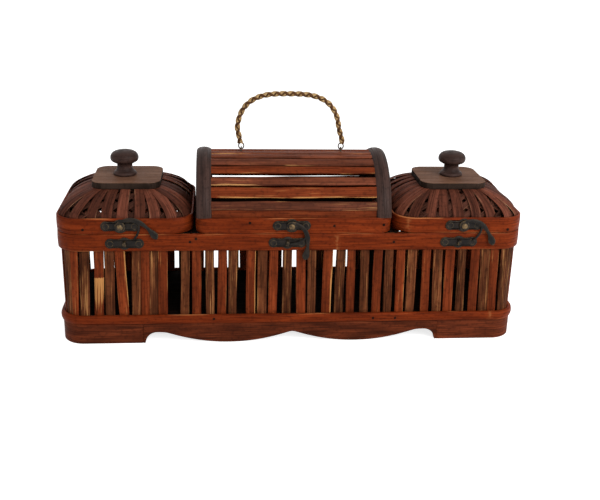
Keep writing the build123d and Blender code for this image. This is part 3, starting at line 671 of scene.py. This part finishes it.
# Tarnish that the metals share: broad stains and fine pits
tarnish, tarnish_in, tarnish_out = new_group("Tarnish", ["Place"], ["Stain", "Pits", "Detail"],
                                             ["Stained", "Pitted"])
stains = add(tarnish, "TexNoise", {"Vector": tarnish_in["Place"], "Scale": tarnish_in["Stain"]})
pitting = add(tarnish, "TexNoise", {"Vector": tarnish_in["Place"], "Scale": tarnish_in["Pits"],
                                    "Detail": tarnish_in["Detail"]})
plug(tarnish, tarnish_out, {"Stained": stains.outputs["Fac"], "Pitted": pitting.outputs["Fac"]})


def metal_finish(name, shade, light, contrast, stain, pits, dull, relief, depth, metallic, detail=2.0,
                 gloss=0.5, rubbed_and_glint=None):
    """Aged metal: noise of scale stain shades it between two screen colours by contrast, and noise of
    scale pits gives its roughness, as the share of the way along dull, and its relief in metres. A
    rubbed colour shows on high spots, where the surface is pointed and the pits are shallow; it is
    partly rubbed metal and partly a painted highlight along the edges."""
    made, tree, shader = new_finish(name)
    place = add(tree, "TexCoord").outputs["Object"]
    aged = add(tree, "Group", {"Place": place, "Stain": stain, "Pits": pits, "Detail": detail},
               node_tree=tarnish)
    stained, pitted = aged.outputs["Stained"], aged.outputs["Pitted"]
    colour = blend(tree, reach(tree, stained, *contrast), tint(shade), tint(light))
    if rubbed_and_glint:
        rubbed_and_glint_spots = reach(tree, add(tree, "NewGeometry").outputs["Pointiness"], 0.52, 0.62)
        colour = blend(tree, product(tree, rubbed_and_glint_spots, reach(tree, pitted, 0.4, 0.7)), colour, tint(rubbed_and_glint))
    bump = add(tree, "Bump", {"Height": pitted, "Strength": relief, "Distance": depth})
    plug(tree, shader, {"Base Color": colour, "Normal": bump.outputs["Normal"], "Specular IOR Level": gloss,
                        "Roughness": reach(tree, pitted, *dull), "Metallic": metallic})
    return made


def circle(count, start=0.0):
    """Points of a unit circle from a starting angle."""
    turn = np.linspace(0, 2 * np.pi, count, endpoint=False) + start
    return np.stack([np.cos(turn), np.sin(turn)], -1)


iron = metal_finish("iron_wire", (48, 40, 34), (96, 84, 70), contrast=(0.0, 1.0), stain=900.0,
                    pits=900.0, dull=(-0.6, 1.2), relief=0.2, depth=0.0002, metallic=0.8)
across_box = np.array([0.0, 1.0, 0.0])
rod = circle(8)
wire_half = 0.65
ring_wide = 2.6
ring_tall = 3.1
eye_low, eye_high = span("handle_eyes")
ring_reach = 3.2
ring_drop = 6.0
hang_x = (eye_high[0] - eye_low[0]) / 2 - ring_reach
hang_z = span("handle_grip")[0][2] - ring_drop
ring_turn = np.linspace(0, 2 * np.pi, 40, endpoint=False)
ring_out = np.stack([np.cos(ring_turn), 0 * ring_turn, np.sin(ring_turn)], -1)
ring_line = np.stack([ring_out * (ring_wide, 0, ring_tall) + (side * hang_x, 0, hang_z + ring_tall)
                      for side in sides.values()])
put_strips("handle_rings", rod, ring_line, across_box, ring_out, wire_half, wire_half, iron, "handle",
           "wire", ["handle_eyes"], closed=True)
staple_foot = span("handle_staples")[0][2]
bow_half = 1.9
bow_turn = np.linspace(0, np.pi, 14)
bow_y = np.concatenate([[-bow_half], -bow_half * np.cos(bow_turn), [bow_half]])
bow_z = np.concatenate([[staple_foot], hang_z + bow_half * np.sin(bow_turn), [staple_foot]])
bow_out = over(np.concatenate([[0], bow_turn, [np.pi]]))
bow_line = np.stack([np.stack([0 * bow_y + side * hang_x, bow_y, bow_z], -1) for side in sides.values()])
put_strips("staples", rod, bow_line, along_box, bow_out, wire_half, wire_half, iron, "centre_lid", "wire",
           ["handle_staples"])

# Grip: a bail plaited from pale and dark cane strands round a stiff core, sprung into an
# arch and bound to the wire ring at each end.
pale_cane = strip_finish("pale_cane", (158, 126, 84), (198, 167, 119), (96, 66, 40),
                         (216, 188, 144), rough=0.55, lines=0.6, worn=(1.1, 1.3), tones=0.15)
dark_cane = strip_finish("dark_cane", (68, 44, 27), (110, 74, 46), (44, 27, 16),
                         (134, 96, 62), rough=0.55, lines=0.6, worn=(1.1, 1.3), tones=0.15)
grip_low, grip_high = span("handle_grip")
leg_inset = 1.6
grip_half_wall = 2.75
bail_half = (grip_high[0] - grip_low[0]) / 2 - leg_inset
bail_rise = grip_high[2] - grip_half_wall - grip_low[2]
bail_power = 2 / 3
leg_height = 18
leg_slump = 3.4
core_half = 1.75
plait = 16.0
plait_lift = 0.4
strand_half = 1.6
pale_extra = 0.25
strand_half_wall = 0.7
# The bail is a superellipse whose legs ease over to the left as they rise
sweep = np.linspace(0, np.pi, 2000)
bail_z = bail_rise * np.abs(np.sin(sweep)) ** bail_power + grip_low[2]
leg = np.clip((bail_z - grip_low[2]) / leg_height, 0, 1)
slump = leg_slump * leg**2 * (3 - 2 * leg)
bail_x = -bail_half * np.sign(np.cos(sweep)) * np.abs(np.cos(sweep)) ** bail_power - slump
trace = np.concatenate([[0], np.cumsum(np.hypot(np.diff(bail_x), np.diff(bail_z)))])
walk = np.linspace(0, trace[-1], 480)
core = np.stack([np.interp(walk, trace, bail_x), 0 * walk, np.interp(walk, trace, bail_z)], -1)
outward = np.cross(unit(np.gradient(core, axis=0)), across_box)
put_strips("grip_core", rod, core[None], across_box, outward, core_half, core_half, dark_cane,
           "handle", "cane")
wind = 2 * np.pi * walk / plait
strands = ((pale_cane, 1, 0), (pale_cane, 1, 1), (dark_cane, -1, 0), (dark_cane, -1, 1))
for strand, (finish, way, start) in enumerate(strands):
    phase = (way * wind + start * np.pi)[:, None]
    spoke = outward * np.cos(phase) + across_box * np.sin(phase)
    line = core + spoke * (core_half + plait_lift * way * np.cos(2 * wind))[:, None]
    beside = unit(np.cross(unit(np.gradient(line, axis=0)), spoke))
    put_strips(f"grip_strand_{strand}", rod, line[None], beside, spoke,
               strand_half + pale_extra * way, strand_half_wall, finish, "handle", "cane",
               ["handle_grip"] if strand == 0 else ())

# Latches: stamped and cast bronze, dark with age and rubbed bright on the high spots, where the
# bright colour is partly wear and partly a painted highlight along the edges. A lobed plate screwed to
# the lid carries the hook on a domed brass rivet, and a second one on the rim carries the keeper.
bronze = metal_finish("aged_bronze", (15, 12, 10), (34, 28, 23), contrast=(0.35, 0.65), stain=130.0,
                      pits=420.0, dull=(-0.3, 1.3), relief=0.3, depth=0.0004, metallic=0.4, detail=5.0,
                      gloss=0.2, rubbed_and_glint=(112, 92, 62))
brass = metal_finish("rubbed_brass", (52, 42, 32), (110, 88, 56), contrast=(0.35, 0.65), stain=500.0,
                     pits=500.0, dull=(-0.2, 1.6), relief=0.2, depth=0.0003, metallic=0.7)
wall_y = -span("rim_hoop")[0][1]
plate_end = 13.5
plate_end_radius = 5.0
plate_waist = 4.4
plate_thick = 1.2
plate_points = 144
plate_inset = np.array([0.0, 0.0, 0.25, 0.8, 1.5])[:, None, None]
plate_level = np.array([-0.1, 0.6, 1.0, plate_thick, plate_thick])
screw_radius = [3.1, 3.1, 2.6, 2.0, 1.5, 1.2, 0.4]
screw_level = np.array([-0.2, 0.15, 0.35, 0.3, 0.1, -0.1, -0.1])


def lobed_outline(middle_radius):
    """Outline of a plate round its middle: in each direction the farthest of a middle circle, a bar of
    half height plate_waist, and a circle at each end. Returns points in the plate's plane and normals."""
    turn = np.linspace(0, 2 * np.pi, plate_points, endpoint=False) - np.pi / 2
    cos, sin = np.abs(np.cos(turn)), np.abs(np.sin(turn))
    bar = np.minimum(plate_end / np.maximum(cos, 1e-6), plate_waist / np.maximum(sin, 1e-6))
    inside = plate_end_radius**2 - (plate_end * sin) ** 2
    lobe = np.where(inside > 0, plate_end * cos + np.sqrt(np.clip(inside, 0, None)), 0)
    radius = np.maximum(np.maximum(bar, lobe), middle_radius)
    outline = np.stack([radius * np.cos(turn), radius * np.sin(turn)], -1)
    ahead = np.roll(outline, -1, 0) - np.roll(outline, 1, 0)
    return outline, unit(np.stack([ahead[:, 1], -ahead[:, 0]], -1))


def facing(x, z, flat, depth):
    """Points in front of the box: flat holds across and up from (x, z), depth is the distance out to -Y."""
    flat, depth = np.broadcast_arrays(flat, np.asarray(depth, float)[..., None])
    return np.stack([x + flat[..., 0], -depth[..., 0], z + flat[..., 1]], -1)


def turned(x, z, radius, depth, count=24):
    """Rings of a round boss facing -Y, by radius and distance out."""
    rings = circle(count, -np.pi / 2) * np.asarray(radius)[:, None, None]
    return facing(x, z, rings, np.asarray(depth)[:, None])


def screwed_plate(x, z, middle_radius):
    """Rings of a plate whose edge steps in as it rises, and of a sunk screw in each of its ends."""
    outline, normal = lobed_outline(middle_radius)
    plate = facing(x, z, outline - normal * plate_inset, wall_y + plate_level[:, None])
    seat = wall_y + plate_thick
    screws = [turned(x + side * plate_end, z, screw_radius, seat + screw_level) for side in sides.values()]
    return [plate, *screws]


def put_rings(name, rings, body, nodes=(), finish=bronze, slot="bronze"):
    """Metal piece whose rings are stacked outwards from the wall, joined into one mesh."""
    points = np.concatenate([ring.reshape(-1, 3) for ring in rings])
    offsets = np.cumsum([0] + [ring.shape[0] * ring.shape[1] for ring in rings[:-1]])
    quads = np.concatenate([quads_of(1, *ring.shape[:2]) + start for ring, start in zip(rings, offsets)])
    put(name, points, quads, finish, body, slot, nodes)


def rotated(flat, degrees):
    """Flat points turned about their origin."""
    angle = np.radians(degrees)
    u, v = flat[..., 0], flat[..., 1]
    return np.stack([u * np.cos(angle) - v * np.sin(angle), u * np.sin(angle) + v * np.cos(angle)], -1)


rivet_radius = [1.5, 1.5, 3.0, 3.0, 2.7, 2.0, 1.0, 0.3]
rivet_level = np.array([1.0, 4.0, 4.0, 4.3, 4.8, 5.2, 5.4, 5.45])
boss_radius = [1.6, 4.6, 5.0, 5.0, 4.4, 1.6]
boss_level = np.array([0.0, 0.0, 0.4, 1.7, 2.2, 2.2])
hook_clear = 0.3
face = wall_y + plate_thick + hook_clear
round_bar = circle(16)

# Hook arm: a curve drawn by three points, t from its root to past the third, with a flattened bar round
# it that ends in a thumb piece
t = np.linspace(0, 1.11, 44)
root, pull, thumb = (-2, 3.5), (11, 17), (32, 0)
bend = (1 - t)[:, None] ** 2 * root + (2 * t * (1 - t))[:, None] * pull + (t**2)[:, None] * thumb
broad = np.interp(t, [0, 0.25, 0.5, 0.64, 0.82, 0.9, 0.97, 1.03, 1.07, 1.1, 1.11],
                  [1.5, 1.9, 2.4, 2.4, 1.5, 1.9, 3.1, 3.6, 3.0, 1.6, 0.4])
deep = np.interp(t, [0, 0.2, 0.6, 0.85, 1.0, 1.11], [1.0, 1.1, 1.05, 1.05, 1.35, 0.5])
ahead = unit(np.gradient(bend, axis=0))
beside = np.stack([-ahead[:, 1], ahead[:, 0]], -1)
arm_flat = bend[:, None] + beside[:, None] * (broad[:, None] * round_bar[:, 0])[..., None]
arm_lift = 1.25
arm_level = face + arm_lift + deep[:, None] * round_bar[:, 1]

# Prong: a round bar on an arc about the rivet, tapered to its tip
prong_radius = 17.8
swing = np.radians(np.linspace(24, -33, 24))
slim = np.interp(np.linspace(0, 1, 24), [0, 0.1, 0.9, 1], [1.3, 1.2, 1.1, 0.5])
spoke = np.stack([np.cos(swing), np.sin(swing)], -1)
prong_flat = spoke[:, None] * (prong_radius + slim[:, None] * round_bar[:, 0])[..., None]
prong_lift = 1.1
prong_level = face + prong_lift + round_bar[:, 1] + 0 * slim[:, None]

# Keeper: a strap bent into a squared loop that stands on its plate
arc = np.linspace(0, np.pi, 24)[:, None]
squared = 0.6
loop_half = 2.3
loop_rise = 3.7
loop_foot = 0.3
strap_half = 1.5
strap_half_wall = 0.5
side_share = 0.22
spread = loop_half * np.sign(np.cos(arc)) * np.abs(np.cos(arc)) ** squared * (1 + side_share * rod[:, 0])
keeper_flat = np.stack([spread, strap_half * rod[:, 1] + 0 * arc], -1)
keeper_level = (wall_y + plate_thick - loop_foot + loop_rise * np.sin(arc) ** squared
                + strap_half_wall * rod[:, 0] * np.sin(arc))

latch_middle = 6.8
catch_middle = 6.2
# Degrees that each hook and its keeper are turned
latches = {"left": (-13.1, -78.7), "centre": (-63.0, -102.5), "right": (-26.9, -102.5)}
for name, (tail, keeper) in latches.items():
    x, _, z = centre_of(f"{name}_latch_plate")
    put_rings(f"plate_upper_{name}", screwed_plate(x, z, latch_middle), f"{name}_lid",
              [f"{name}_latch_plate"])
    rivet = turned(x, z, rivet_radius, wall_y + rivet_level)
    put_rings(f"rivet_{name}", [rivet], f"{name}_lid", [f"{name}_latch_rivet"], brass)
    arm = facing(x, z, rotated(arm_flat, tail), arm_level)
    prong = facing(x, z, rotated(prong_flat, tail), prong_level)
    boss = turned(x, z, boss_radius, face + boss_level, 32)
    put_rings(f"hook_{name}", [arm, prong[:, ::-1], boss], f"{name}_hook", [f"{name}_hook"])
    x, _, z = centre_of(f"{name}_catch")
    bridge = facing(x, z, rotated(keeper_flat, keeper), keeper_level)
    put_rings(f"catch_plate_{name}", [*screwed_plate(x, z, catch_middle), bridge], "box", [f"{name}_catch"])

# Hinges: plain butt hinges of the same dark bronze over the parting at the back, one on each
# side lid and two on the centre lid, each turning on a riveted pin.
dress(bronze, "hinge_box_leaves", "left_hinge_leaves", "centre_hinge_leaves", "right_hinge_leaves")

# Nails: small iron heads gone dark, hammered nearly flush through the hoops and bands into
# the slats behind.
nail_black = strip_finish("nail_black", (22, 12, 8), (38, 22, 15), (12, 7, 5),
                          (60, 40, 28), rough=0.7, objectwise=True)
nail_radius = [1.4, 1.3, 0.9, 0.3]
nail_level = np.array([-0.5, 0.1, 0.25, 0.3])
base_proud = 1.4
base_top = 40
nails = {"box": [(98.3, 106.6), (-95.4, 110.8), (-101.2, 107.7), (-78.8, 26.6), (81.6, 25.4),
                 (104.2, 25.1)],
         "left_lid": [(-202.3, 120.4)],
         "centre_lid": [(-43.5, 126.8), (38.6, 123.5), (87.3, 124.3)],
         "right_lid": [(212.0, 119.0)]}
for body, spots in nails.items():
    heads = [turned(x, z, nail_radius, wall_y + (base_proud if z < base_top else 0.0) + nail_level, 12)
             for x, z in spots]
    put_rings(f"nails_{body}", heads, body, finish=nail_black, slot="wire")

# Floor, light and camera: a pale sweep that runs to white, one broad lamp high on the right,
# a weak one on each side, and the lens of the photograph.


def seen_straight(tree):
    """1 on rays from the camera, a reflection or a clear piece, 0 on those that only bring light."""
    path = add(tree, "LightPath").outputs
    shown = maths(tree, "MAXIMUM", path["Is Camera Ray"], path["Is Glossy Ray"])
    return maths(tree, "MAXIMUM", shown, path["Is Transmission Ray"])


floor_half = 6.0
floor_mesh = bpy.data.meshes.new("floor")
floor_corners = [(x * floor_half, y * floor_half, 0) for x, y in ((-1, -1), (1, -1), (1, 1), (-1, 1))]
floor_mesh.from_pydata(floor_corners, [], [(0, 1, 2, 3)])
floor = new_object("floor", floor_mesh)
paper, paper_tree, paper_shader = new_finish("paper")
paper_glow = 0.78
glow = product(paper_tree, seen_straight(paper_tree), paper_glow)
plug(paper_tree, paper_shader, {"Base Color": (0.8, 0.8, 0.8, 1.0), "Roughness": 1.0,
                                "Specular IOR Level": 0.0, "Emission Color": (1.0, 1.0, 1.0, 1.0),
                                "Emission Strength": glow})
floor_mesh.materials.append(paper)

world = bpy.data.worlds.new("studio")
bpy.context.scene.world = world
world.use_nodes = True
sky = world.node_tree
sky_light = 0.55
shown_sky = reach(sky, seen_straight(sky), 0.0, 1.0, sky_light, 1.0)
plug(sky, sky.nodes["Background"], {"Color": (1.0, 1.0, 1.0, 1.0), "Strength": shown_sky})

for label, spot, power, size in (("key_lamp", (0.9, -1.4, 1.2), 23.0, 1.1),
                                 ("fill_lamp", (-1.3, -0.9, 0.9), 2.8, 1.0),
                                 ("side_lamp", (1.0, -0.55, 0.35), 1.8, 0.4)):
    lamp = bpy.data.lights.new(label, "AREA")
    lamp.energy = power
    lamp.size = size
    stand = new_object(label, lamp)
    stand.location = spot
    aim = -stand.location.normalized()
    stand.rotation_mode = "QUATERNION"
    stand.rotation_quaternion = aim.to_track_quat("-Z", "Y")

azimuth, elevation, roll = np.radians([5.482, 20.23, 1.555])
eye = np.array([-0.07224, -0.87571, 0.39896])
photo_width = 600
focal_pixels = 886.81
sensor_width = 36.0
ahead = np.array([np.sin(azimuth), np.cos(azimuth), 0.0])
forward = ahead * np.cos(elevation) - upright * np.sin(elevation)
level = np.array([np.cos(azimuth), -np.sin(azimuth), 0.0])
rise = np.cross(level, forward)
right = np.cos(roll) * level + np.sin(roll) * rise
top = -np.sin(roll) * level + np.cos(roll) * rise
camera = new_object("camera", bpy.data.cameras.new("camera"))
camera.data.sensor_width = sensor_width
camera.data.lens = sensor_width * focal_pixels / photo_width
pose = np.eye(4)
pose[:3, :3] = np.stack([right, top, -forward], 1)
pose[:3, 3] = eye
camera.matrix_world = Matrix(pose.tolist())
bpy.context.scene.camera = camera
bpy.context.scene.view_settings.view_transform = "Standard"
